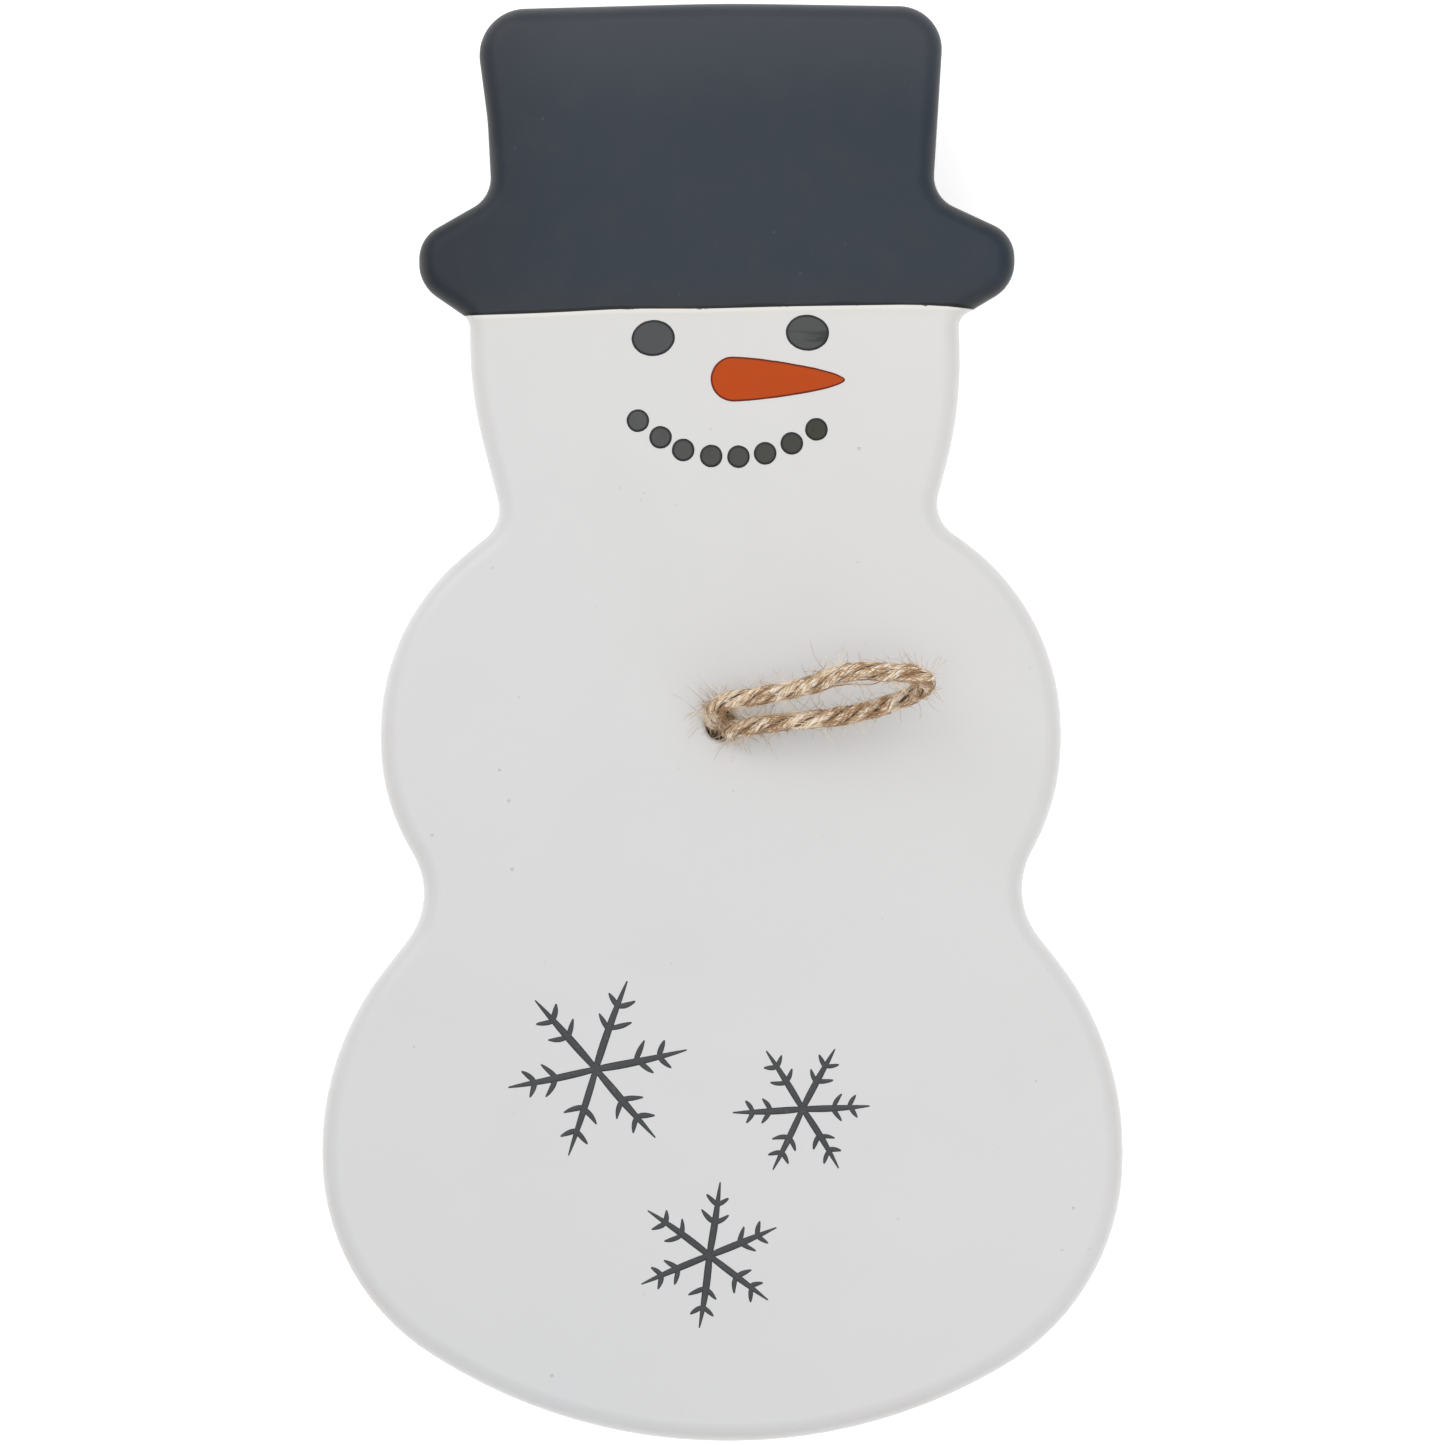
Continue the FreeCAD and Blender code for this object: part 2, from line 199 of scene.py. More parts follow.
whiteGlaze = {
    # painted light: the first tone is the shaded lower left of the glaze, the second its lit upper right
    "shadedCool": (0.590, 0.594, 0.602),
    "litWarm": (0.664, 0.656, 0.648),
    "cloud": (0.565, 0.562, 0.560),
    "clay": (0.47, 0.39, 0.30),              # where the glaze is thin
    "cream": (0.66, 0.625, 0.555),           # under the brim
    "edge": (0.78, 0.76, 0.72),              # painted highlight on the ridge right at the hat's edge
    "speck": (0.30, 0.27, 0.24),
    "bare": (0.47, 0.38, 0.29),              # the unglazed underside of the dish
    "sand": (0.56, 0.47, 0.38),              # its paler grains
    "creamBand": (-0.0024, -0.0003),         # in metres from the hat's edge
    "edgeBand": (-0.00075, -0.00030),
    "creepBand": (-0.00012, 0.00006),
    "creep": 0.0017,                         # how far the hat's colour wanders over its edge
    "creepDepth": (0.004, 0.003),            # how far below the lid's face it fades out
    "footHeight": (0.0010, 0.0016),
    "roughness": 0.29,                       # at its glossiest
    "relief": 0.0011,
}

hatGlaze = {
    "slate": (0.0160, 0.0250, 0.0390),
    "pale": (0.0235, 0.0325, 0.0470),
    "mottle": (0.036, 0.040, 0.048),
    "speck": (0.10, 0.11, 0.12),
    "thin": (0.056, 0.062, 0.072),           # painted sheen at the top of the crown
    "deep": (0.011, 0.014, 0.019),           # painted shade on the left of the brim
    "rim": (0.030, 0.031, 0.031),            # painted sheen towards the outline
    "bead": (0.006, 0.006, 0.007),           # thickest along its lower edge
    "rust": (0.050, 0.026, 0.018),
    "paleEdge": (0.062, 0.066, 0.070),
    "thinBand": (0.088, 0.108),              # in metres up the figure
    "deepBand": (-0.020, -0.044),            # in metres across it
    "beadBand": (0.00030, 0.00062),          # in metres from its lower edge
    "roughness": 0.36,                       # at its glossiest
    "relief": 0.0011,
}

# the hat's lower edge in millimetres, and the frame that its curve is drawn in
hatEdge = {
    "points": [(-70, 60.4), (-38, 61.1), (-24, 61.6), (-13, 62.1), (-4, 62.1),
               (8, 62.4), (20, 62.6), (33, 62.5), (38, 62.0), (70, 61.0)],
    "reach": 70,
    "base": 60,
    "rise": 3,
}


def aboveHatEdge(paint):
    # height over the hat's lower edge, in metres
    reach, base, rise = hatEdge["reach"], hatEdge["base"], hatEdge["rise"]
    across = paint.axis("X") / (2 * reach / 1000) + 0.5
    curve = [((x + reach) / (2 * reach), (y - base) / rise) for x, y in hatEdge["points"]]
    line = paint.add("ShaderNodeFloatCurve", {"curve": curve}, {"Value": across})
    return paint.axis("Y") - (line * (rise / 1000) + base / 1000)


def makeWhiteGlaze():
    glaze = whiteGlaze
    paint = Paint("whiteGlaze", Coat_Weight=0.18, Coat_Roughness=0.15, IOR=1.48)
    height = paint.axis("Z")
    up = paint.upward()
    above = aboveHatEdge(paint)
    onTop = up.between(0.6, 0.9)
    # painted light: darker and cooler at the lower left, lighter and warmer at the upper right where the
    # light falls, with soft clouds of tone
    wide = paint.noise(9.0, 2.0)
    cloud = paint.noise(38.0, 4.0, 0.55)
    litSide = paint.axis("X") * 2.4 + paint.axis("Y") * 4.0 + (wide - 0.5) * 0.8 + 0.60
    colour = paint.mix(litSide, glaze["shadedCool"], glaze["litWarm"])
    colour = paint.mix((cloud - 0.46) * 0.7, colour, glaze["cloud"])
    # thin glaze over the rounded edges, with the clay's warmth behind it
    rounded = up.between(0.97, 0.75) * up.between(0.15, 0.4)
    patch = paint.noise(22.0, 2.0).between(0.46, 0.66)
    broken = paint.noise(160.0, 3.0, 0.6).between(0.48, 0.64)
    colour = paint.mix(rounded * (patch * 0.10 + broken * 0.05 + 0.01), colour, glaze["clay"])
    # creamy under the brim, and a painted highlight on the ridge right at the hat's edge
    cream = above.between(*glaze["creamBand"]) * onTop
    colour = paint.mix(cream * 0.45, colour, glaze["cream"])
    # painted highlight: a lighter line along the ridge just below the hat's edge
    light = above.between(*glaze["edgeBand"]) * onTop
    colour = paint.mix(light * 0.55, colour, glaze["edge"])
    # the hat's colour creeps over here and there, on the lid's face only
    wander = (paint.noise(330.0, 3.0, 0.6) - 0.62) * glaze["creep"]
    fadeLow, fadeHigh = (faceHeight - depth for depth in glaze["creepDepth"])
    creep = (above + wander).between(*glaze["creepBand"]) * up.between(0.3, 0.6)
    creep = creep * height.between(fadeLow, fadeHigh)
    colour = paint.mix(creep * 0.92, colour, hatGlaze["bead"])
    # iron specks and pinholes
    speck = paint.dots(330.0, 0.045, 0.085) * paint.noise(95.0, 1.0).between(0.58, 0.66)
    colour = paint.mix(speck * 0.30, colour, glaze["speck"])
    pin = paint.dots(170.0, 0.025, 0.05) * paint.noise(51.0, 1.0).between(0.56, 0.62)
    colour = paint.mix(pin * 0.34, colour, glaze["speck"])
    # the underside of the dish is left bare
    foot = (1 - height.between(*glaze["footHeight"])) * (1 - up.between(-0.75, -0.6))
    grain = paint.noise(900.0, 4.0, 0.7)
    colour = paint.mix(foot, colour, paint.mix(grain, glaze["bare"], glaze["sand"]))
    rough = paint.noise(60.0, 3.0) * 0.14 + glaze["roughness"] + foot * 0.4
    # a slow swell, finer waves, the grain of the glaze and the pinholes
    swell = paint.noise(26.0, 2.0) + paint.noise(140.0, 2.0) * 0.09
    swell = swell + paint.noise(1500.0, 2.0) * 0.012 - pin * 0.2
    paint.set(Base_Color=colour, Roughness=rough, Normal=paint.bump(swell, 0.5, glaze["relief"]))
    return paint


def makeHatGlaze():
    glaze = hatGlaze
    paint = Paint("hatGlaze", Coat_Weight=0.03, Coat_Roughness=0.3, IOR=1.45, Specular_IOR_Level=0.30)
    across = paint.axis("X")
    upFigure = paint.axis("Y")
    up = paint.upward()
    above = aboveHatEdge(paint)
    cloud = paint.noise(15.0, 4.0, 0.55)
    mottle = paint.noise(190.0, 4.0, 0.6)
    colour = paint.mix((cloud - 0.34) * 2.2, glaze["slate"], glaze["pale"])
    colour = paint.mix((mottle - 0.45) * 1.1, colour, glaze["mottle"])
    speck = paint.dots(300.0, 0.04, 0.10) * paint.noise(70.0, 1.0).between(0.55, 0.62)
    colour = paint.mix(speck * 0.25, colour, glaze["speck"])
    # painted light: paler at the top as a painted sheen, and darker on the left of the brim as painted shade
    colour = paint.mix(upFigure.between(*glaze["thinBand"]) * 0.55, colour, glaze["thin"])
    colour = paint.mix(across.between(*glaze["deepBand"]) * 0.5, colour, glaze["deep"])
    # painted sheen: greyer and warmer on the rounded outline, where the glaze catches the pale surroundings,
    # and also greyer just above the lower edge
    rim = up.between(0.94, 0.66) * (0.5 - upFigure.between(0.096, 0.106) * 0.4)
    colour = paint.mix(rim + above.between(0.006, 0.0005) * 0.35, colour, glaze["rim"])
    # a dark bead along the lower edge, rusty in places
    wander = (paint.noise(210.0, 3.0) - 0.5) * 0.0007
    bead = 1 - (above + wander).between(*glaze["beadBand"])
    colour = paint.mix(bead * 0.9, colour, glaze["bead"])
    rust = bead * paint.noise(55.0, 2.0).between(0.54, 0.62)
    colour = paint.mix(rust * 0.40, colour, glaze["rust"])
    # paler in patches on the rounded edges
    rounded = up.between(0.97, 0.70) * up.between(0.1, 0.4)
    paleEdge = paint.noise(85.0, 4.0, 0.65).between(0.46, 0.64)
    colour = paint.mix(rounded * paleEdge * 0.30, colour, glaze["paleEdge"])
    rough = paint.noise(45.0, 3.0) * 0.16 + glaze["roughness"]
    swell = paint.noise(26.0, 2.0) + paint.noise(170.0, 3.0) * 0.12 + paint.noise(1100.0, 3.0, 0.7) * 0.03
    swell = swell + bead * up.between(0.6, 0.9) * 0.06
    paint.set(Base_Color=colour, Roughness=rough, Normal=paint.bump(swell, 0.5, glaze["relief"]))
    return paint


white = makeWhiteGlaze()
hat = makeHatGlaze()
for node in ("dish_body", "lid_body"):
    give(nodes[node], white)
for node in ("dish_hat_glaze", "lid_hat_glaze"):
    give(nodes[node], hat)
print("glazes on the dish and the lid")


# modelling helpers

def clearSelection():
    if bpy.context.object and bpy.context.object.mode != "OBJECT":
        bpy.ops.object.mode_set(mode="OBJECT")
    bpy.ops.object.select_all(action="DESELECT")


def workOn(obj):
    clearSelection()
    obj.select_set(True)
    bpy.context.view_layer.objects.active = obj


def link(name, data):
    piece = bpy.data.objects.new(name, data)
    bpy.context.scene.collection.objects.link(piece)
    return piece


def asMesh(obj):
    workOn(obj)
    bpy.ops.object.convert(target="MESH")
    bpy.ops.object.transform_apply(location=True, rotation=True, scale=True)
    bpy.ops.object.shade_smooth()
    return bpy.context.object


def turnOutward(smoothAngle):
    # for the active mesh: faces point out, and only edges sharper than the angle stay sharp
    bpy.ops.object.mode_set(mode="EDIT")
    bpy.ops.mesh.select_all(action="SELECT")
    bpy.ops.mesh.normals_make_consistent(inside=False)
    bpy.ops.object.mode_set(mode="OBJECT")
    bpy.ops.object.shade_smooth_by_angle(angle=math.radians(smoothAngle))


def pieceName(node, ending):
    return node.replace("_", " ").title().replace(" ", "") + ending


def openCurve(name, bevel=0.0, around=0, along=32):
    curve = bpy.data.curves.new(name, "CURVE")
    curve.dimensions = "3D"
    curve.bevel_depth = bevel
    curve.bevel_resolution = around
    curve.resolution_u = along
    return curve


def addLine(curve, places, radii, order=3):
    # one smooth line that its given points pull on, as thick at each as its radius says
    spline = curve.splines.new("NURBS")
    spline.points.add(len(places) - 1)
    for point, place, radius in zip(spline.points, places, radii):
        point.co = (*place, 1)
        point.radius = radius
    spline.order_u = order
    spline.use_endpoint_u = True


# decals on the face

decal = {
    "thick": 0.00012,
    "sunk": 0.00001,       # how far its foot lies in the glaze
    "slope": 0.00014,      # how wide the falling edge is
    "line": 0.00034,       # how wide the dark outline is
    "wobble": 0.00004,     # how uneven the cut edge is
    "blank": 0.003,        # radius of the round plate that each one starts as
    "rise": 0.00002,       # from one ring of the blank to the next
    "smooth": 50,          # degrees
}

# name: wide, tall, x, y in millimetres, lean in degrees
eyes = {
    "left_eye": (6.5, 5.4, -10.4, 57.7, 6),
    "right_eye": (6.5, 5.4, 12.75, 58.5, -4),
}

mouth = {
    "radius": 1.70,
    "places": [(-12.7, 45.3), (-9.3, 42.8), (-5.9, 40.9), (-1.7, 40.0),
               (2.4, 39.9), (6.4, 40.4), (10.4, 41.9), (14.1, 44.0)],
}

nose = {"length": 16.8, "root": 3.38, "x": 1.6, "y": 51.55, "lean": -0.4, "spine": 15.7}

# two tones for each fired colour
faceColours = {
    "line": (0.0125, 0.0135, 0.0145),
    "eye": ((0.055, 0.058, 0.064), (0.070, 0.072, 0.076)),
    "brushedEye": ((0.056, 0.060, 0.059), (0.070, 0.073, 0.068)),
    "leftDot": ((0.066, 0.068, 0.069), (0.080, 0.081, 0.080)),
    "rightDot": ((0.032, 0.033, 0.023), (0.046, 0.047, 0.034)),
    "carrot": ((0.470, 0.062, 0.0065), (0.435, 0.064, 0.0095)),
    "carrotLine": (0.130, 0.018, 0.007),
}


def ovalOutline(wide, tall, lean, count=80):
    turn = Matrix.Rotation(math.radians(lean), 3, "Z")
    around = [2 * math.pi * i / count for i in range(count)]
    return [turn @ Vector((math.cos(a) * wide / 2, math.sin(a) * tall / 2, 0)) / 1000 for a in around]


def carrotOutline(count=30):
    # a blunt round root on the left, long sides that swell a little, a small round tip on the right
    upper = []
    for i in range(count):
        a = math.pi - math.pi / 2 * i / count
        upper.append(Vector((math.cos(a) * nose["root"], math.sin(a) * nose["root"], 0)))
    for i in range(count):
        share = 1 - (1 - i / count) ** 1.6
        y = nose["root"] * (1 - 0.76 * share ** 1.5) * (1 - share ** 12) ** 0.5
        upper.append(Vector((nose["length"] * share, y, 0)))
    tip = Vector((nose["length"], 0, 0))
    lower = [Vector((p.x, -p.y, 0)) for p in reversed(upper[1:])]
    turn = Matrix.Rotation(math.radians(nose["lean"]), 3, "Z")
    return [turn @ p / 1000 for p in reversed(upper + [tip] + lower)]


def addBlank(name, count):
    # a round plate with four rings of points, each higher than the last
    clearSelection()
    bpy.ops.mesh.primitive_circle_add(vertices=count, radius=decal["blank"], fill_type="NGON")
    plate = bpy.context.object
    plate.name = name
    bpy.ops.object.mode_set(mode="EDIT")
    bpy.ops.mesh.select_all(action="SELECT")
    bpy.ops.mesh.extrude_region_move(TRANSFORM_OT_translate={"value": (0, 0, decal["rise"])})
    for _ in range(2):
        bpy.ops.mesh.inset(thickness=decal["rise"] / 2, depth=decal["rise"])
    bpy.ops.object.mode_set(mode="OBJECT")
    return plate


def layDecal(node, outline, x, y, seed, spine=0.0):
    # a flat plate of fired colour with a softly falling edge and a line just inside it
    count = len(outline)
    plate = addBlank(pieceName(node, "Decal"), count)
    origin = Vector((x / 1000, y / 1000, faceHeight - decal["sunk"]))
    # how far inside the outline each ring goes, and how high, as a share of the thickness
    rings = [(0.0, 0.0), (0.0, 0.3), (decal["slope"], 1.0), (decal["slope"] + decal["line"], 1.0)]
    inward = plate.data.attributes.new("inward", "FLOAT", "POINT")
    for vertex, stored in zip(plate.data.vertices, inward.data):
        inside, height = rings[round(vertex.co.z / decal["rise"])]
        index = round(math.atan2(vertex.co.y, vertex.co.x) / (2 * math.pi) * count) % count
        p = outline[index]
        middle = Vector((min(max(p.x, 0), spine), 0, 0))
        arm = p - middle
        uneven = decal["wobble"] * noise.noise(Vector((p.x * 1100, p.y * 1100, seed)))
        reach = max(arm.length + uneven - inside, arm.length * 0.3)
        vertex.co = origin + (middle + arm.normalized() * reach)
        vertex.co.z += decal["thick"] * height
        stored.value = inside * 1000
    turnOutward(decal["smooth"])
    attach(plate, "lid")
    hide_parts(node)
    return plate


def decalPaint(name, tones, line, lineWidth=0.40, streaks=0.0, slant=(1.0, 1.0, 1.0), gloss=0.30):
    fill, second = tones
    paint = Paint(name, Coat_Weight=gloss * 0.1, Coat_Roughness=0.25, IOR=1.45, Specular_IOR_Level=gloss)
    brush = paint.noise(420.0, 4.0, 0.6, paint.stretched(slant))
    cloud = paint.noise(160.0, 3.0)
    grain = paint.noise(1900.0, 3.0, 0.65)
    colour = paint.mix((cloud - 0.35) * 1.6, fill, second)
    if streaks:
        colour = paint.mix(brush.between(0.50, 0.66) * streaks, colour, line)
    colour = paint.mix((grain - 0.45) * 0.5, colour, second)
    inward = paint.stored("inward") + (cloud - 0.5) * 0.16
    outline = 1 - inward.between(lineWidth * 0.6, lineWidth * 1.15)
    colour = paint.mix(outline * 0.95, colour, line)
    relief = paint.bump(brush * 0.4 + grain * 0.15, 0.35, 0.00006)
    paint.set(Base_Color=colour, Roughness=brush * 0.18 + 0.30, Normal=relief)
    return paint


def addEyes():
    line = faceColours["line"]
    smooth = decalPaint("eyeColour", faceColours["eye"], line)
    streaky = decalPaint("brushedEyeColour", faceColours["brushedEye"], line,
                         streaks=0.70, slant=(5.5, 0.9, 1.0))
    for i, (node, (wide, tall, x, y, lean)) in enumerate(eyes.items()):
        plate = layDecal(node, ovalOutline(wide, tall, lean), x, y, seed=i)
        give(plate, streaky if node == "right_eye" else smooth)


def addMouth():
    wide = 2 * mouth["radius"]
    for i, (x, y) in enumerate(mouth["places"]):
        # the row turns a little warmer and darker to the right
        share = i / (len(mouth["places"]) - 1)
        tones = []
        for left, right in zip(faceColours["leftDot"], faceColours["rightDot"]):
            tones.append(tuple(a + (b - a) * share for a, b in zip(left, right)))
        plate = layDecal(f"mouth_dot_{i + 1}", ovalOutline(wide, wide, 0, 48), x, y, seed=10 + i)
        paint = decalPaint(f"mouthColour{i + 1}", tones, faceColours["line"], streaks=0.10 + 0.25 * share)
        give(plate, paint)


def addNose():
    carrot = layDecal("carrot_nose", carrotOutline(), nose["x"], nose["y"], seed=30,
                      spine=nose["spine"] / 1000)
    paint = decalPaint("carrotColour", faceColours["carrot"], faceColours["carrotLine"],
                       lineWidth=0.30, streaks=0.05, slant=(5.0, 1.0, 1.0), gloss=0.10)
    give(carrot, paint)


addEyes()
addMouth()
addNose()
print("face decals laid")


# brushed snowflakes

flake = {
    "arm": 0.62,         # half width of an arm at its thickest, in millimetres
    "twig": 0.45,
    "fine": 0.10,        # half width at a tip
    "root": 0.6,         # how far an arm starts past the middle
    "flat": 0.16,        # height as a share of the half width
    "lift": 0.01,        # its middle over the lid's face
    "twigs": [(0.45, 0.24), (0.70, 0.20)],  # where along the arm, and how long, as shares of the reach
    "spread": 55,        # angle between twig and arm, in degrees
    "fullReach": 14,     # the reach at which the widths above hold
    "seed": 40,
    "ink": ((0.030, 0.034, 0.037), (0.052, 0.055, 0.056)),
    "dryInk": (0.095, 0.098, 0.096),
    "inkEdge": (0.018, 0.020, 0.022),
}

# one pull of the brush: shares of its length, and of its width
pull = {
    "along": (0, 0.10, 0.35, 0.65, 0.88, 1),
    "press": (0.55, 0.85, 1.0, 0.80, 0.50),
}

# node: reach, x, y in millimetres, turn in degrees
snowflakes = {
    "snowflake_upper": (14.0, -19, -52, 12),
    "snowflake_middle": (10.5, 12, -58, 3),
    "snowflake_lower": (11.5, -2, -80, 22),
}


def stroke(curve, start, end, thick, pick, bow):
    # presses on near the start and lifts off at the tip
    along = end - start
    aside = Vector((-along.y, along.x))
    places, radii = [], []
    for share, press in zip(pull["along"], (*pull["press"], flake["fine"] / thick)):
        place = start + along * share + aside * bow * math.sin(math.pi * share)
        places.append(place.to_3d())
        radii.append(thick * press * pick.uniform(0.90, 1.10))
    addLine(curve, places, radii, order=4)


def brushSnowflake(node, reach, x, y, turn, pick):
    curve = openCurve(node, bevel=1.0, around=3, along=5)
    curve.use_fill_caps = True
    scale = (reach / flake["fullReach"]) ** 0.5
    for i in range(6):
        angle = math.radians(turn + 60 * i) + pick.uniform(-0.035, 0.035)
        out = Vector((math.cos(angle), math.sin(angle)))
        arm = reach * pick.uniform(0.95, 1.0)
        bow = pick.uniform(-0.018, 0.018)
        stroke(curve, out * -flake["root"], out * arm, flake["arm"] * scale, pick, bow)
        for where, long in flake["twigs"]:
            for side in (1, -1):
                lean = angle + side * math.radians(flake["spread"] + pick.uniform(-5, 5))
                root = out * arm * (where + pick.uniform(-0.015, 0.015))
                tip = root + Vector((math.cos(lean), math.sin(lean))) * reach * long * pick.uniform(0.88, 1.0)
                stroke(curve, root, tip, flake["twig"] * scale, pick, side * pick.uniform(0.0, 0.07))
    piece = link(pieceName(node, "Brushed"), curve)
    piece.location = (x / 1000, y / 1000, faceHeight + flake["lift"] / 1000)
    piece.scale = (0.001, 0.001, 0.001 * flake["flat"])
    piece = asMesh(piece)
    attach(piece, "lid")
    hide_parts(node)
    return piece


def snowPaint():
    paint = Paint("snowflakeInk", Coat_Weight=0.12, Coat_Roughness=0.25, IOR=1.45, Specular_IOR_Level=0.4)
    dry = paint.noise(900.0, 4.0, 0.65)
    cloud = paint.noise(120.0, 3.0)
    colour = paint.mix((cloud - 0.4) * 1.8, *flake["ink"])
    colour = paint.mix(dry.between(0.56, 0.72) * 0.55, colour, flake["dryInk"])
    colour = paint.mix(paint.upward().between(0.995, 0.93) * 0.6, colour, flake["inkEdge"])
    paint.set(Base_Color=colour, Roughness=dry * 0.2 + 0.32, Normal=paint.bump(dry, 0.3, 0.00005))
    return paint


def addSnowflakes():
    ink = snowPaint()
    for i, (node, (reach, x, y, turn)) in enumerate(snowflakes.items()):
        give(brushSnowflake(node, reach, x, y, turn, random.Random(flake["seed"] + i)), ink)


addSnowflakes()
print("snowflakes brushed on")


# the jute loop

cord = {
    "diameter": 2.8,
    "length": 79.0,
    "strand": 0.72,      # radius of one of the three strands
    "offset": 0.63,      # strand's middle from the rope's middle
    "lay": 12.5,         # length of one full twist
    "step": 0.20,        # between rings
    "around": 40,        # points in a ring
    "ridge": 0.075,      # how far bundles of fibre stand up
    "swell": 0.13,       # how much a strand's thickness changes, as a share
    "wander": 0.45,      # how far one strand strays from the twist, in radians
    "drift": 1.3,        # how far the whole twist does
    "brush": 4.5,        # how much of a cut end comes apart
    "hairs": 760,
    "wraps": 260,
    "tuft": 110,
    "wisp": 0.085,       # radius of a long pale wisp
    "clear": 0.2,        # hairs stay this far over the lid's face
    "smooth": 60,        # degrees
    "seed": 7,
    "grainSeed": 3.0,
}

# the loop's route over the lid's face, in millimetres from the face
route = [(-1.35, 0.35, 0.0), (-1.35, 0.35, 2.4), (-1.3, 3.1, 6.0), (6.0, 3.95, 8.6), (13.4, 5.5, 12.0),
         (19.2, 7.9, 14.4), (25.2, 7.4, 15.9), (28.9, 7.3, 16.2), (31.0, 6.05, 13.2), (28.9, 4.3, 9.9),
         (22.6, 1.75, 9.4), (14.5, 0.45, 8.4), (6.5, -0.1, 6.4), (1.0, -1.2, 3.6), (1.0, -1.2, 0.0)]

# the long pale wisps that hang off near the tip
wisps = [
    [(21.0, 8.2, 16.2), (23.4, 7.2, 17.0), (25.8, 5.7, 16.2), (27.4, 4.5, 13.6), (29.6, 3.6, 11.4)],
    [(22.2, 8.0, 16.4), (24.4, 6.6, 17.0), (26.4, 5.3, 15.6), (28.4, 3.7, 12.4), (30.6, 3.4, 11.0)],
    [(16.2, 5.3, 11.8), (18.8, 5.9, 12.4), (21.6, 5.5, 12.4), (23.6, 6.0, 13.2), (24.6, 7.0, 14.0)],
]

juteColours = {
    "fibre": ((0.390, 0.200, 0.078), (0.960, 0.750, 0.510)),
    "bleached": (1.000, 0.970, 0.890),
    "brown": (0.230, 0.100, 0.032),
    "straw": (0.660, 0.460, 0.290),
    # painted shade for the grooves between the strands
    "grooveShade": (0.105, 0.042, 0.013),
    "hair": ((0.40, 0.23, 0.11), (0.95, 0.84, 0.68)),
    "hairStraw": (0.66, 0.46, 0.28),
}


def overFace(points):
    return [Vector((x / 1000, y / 1000, faceHeight + z / 1000)) for x, y, z in points]


def smoothLine(points):
    # the line of a few given points
    curve = openCurve("line")
    addLine(curve, points, [1.0] * len(points))
    holder = bpy.data.objects.new("line", curve)
    mesh = bpy.data.meshes.new_from_object(holder)
    line = [vertex.co.copy() for vertex in mesh.vertices]
    bpy.data.objects.remove(holder)
    bpy.data.meshes.remove(mesh)
    bpy.data.curves.remove(curve)
    return line


class Spot:
    # a place on the rope's middle line, the way ahead, and two directions across it
    def __init__(self, place, ahead, normal, along):
        self.place = place
        self.ahead = ahead
        self.normal = normal
        self.across = ahead.cross(normal)
        self.along = along     # from the start, in metres

    def spoke(self, angle):
        return self.normal * math.cos(angle) + self.across * math.sin(angle)


def evenSpots(line, step):
    # spots a step apart, their directions carried along without twist
    reach = [0.0]
    for a, b in zip(line, line[1:]):
        reach.append(reach[-1] + (b - a).length)
    count = max(2, round(reach[-1] / step))
    places = []
    k = 0
    for i in range(count + 1):
        along = reach[-1] * i / count
        while k < len(line) - 2 and reach[k + 1] < along:
            k += 1
        places.append(line[k].lerp(line[k + 1], (along - reach[k]) / max(reach[k + 1] - reach[k], 1e-9)))
    spots = []
    normal = None
    for i, place in enumerate(places):
        ahead = (places[min(i + 1, count)] - places[max(i - 1, 0)]).normalized()
        if normal is None:
            normal = ahead.orthogonal()
        normal = (normal - ahead * normal.dot(ahead)).normalized()
        spots.append(Spot(place, ahead, normal, reach[-1] * i / count))
    return spots


def strandRings(spots, which, thickness, seed, fray=0.0):
    # one strand of a three-strand rope: its rings of points, with how far along each lies
    rings = []
    total = spots[-1].along
    for spot in spots:
        along = spot.along * 1000
        loose = fray * max(0.0, 1 - (total - spot.along) / (cord["brush"] / 1000)) ** 1.5
        wander = noise.noise(Vector((along * 0.16, which * 7.1, seed)))
        drift = noise.noise(Vector((along * 0.07, 31.0, seed)))
        turn = which * 2 * math.pi / 3 - 2 * math.pi * along / cord["lay"]
        turn = turn + cord["wander"] * wander + cord["drift"] * drift
        out = spot.spoke(turn)
        side = spot.ahead.cross(out)
        swell = 1 + cord["swell"] * noise.noise(Vector((along * 0.50, which * 3.3 + 20, seed)))
        radius = cord["strand"] * thickness * swell * (1 - 0.35 * loose)
        middle = spot.place + out * (cord["offset"] * thickness * (1 + 1.3 * loose) / 1000)
        ring = []
        for j in range(cord["around"]):
            a = 2 * math.pi * j / cord["around"]
            x, y = math.cos(a), math.sin(a)
            fibre = noise.noise(Vector((x * 3.2 + along * 0.10, y * 3.2, along * 0.21 + seed)))
            fine = noise.noise(Vector((x * 8, y * 8 + which * 9, along * 0.5 + seed)))
            r = radius + cord["ridge"] * (fibre * 1.5 + fine * 0.8)
            ring.append(middle + (out * x + side * y) * (r / 1000))
        rings.append((ring, along))
    return rings


def threeStrands(spots, thickness, seed, fray=0.0):
    # each strand with its own place on the fibre pattern
    return [(strandRings(spots, k, thickness, seed, fray), k * 2.0) for k in range(3)]


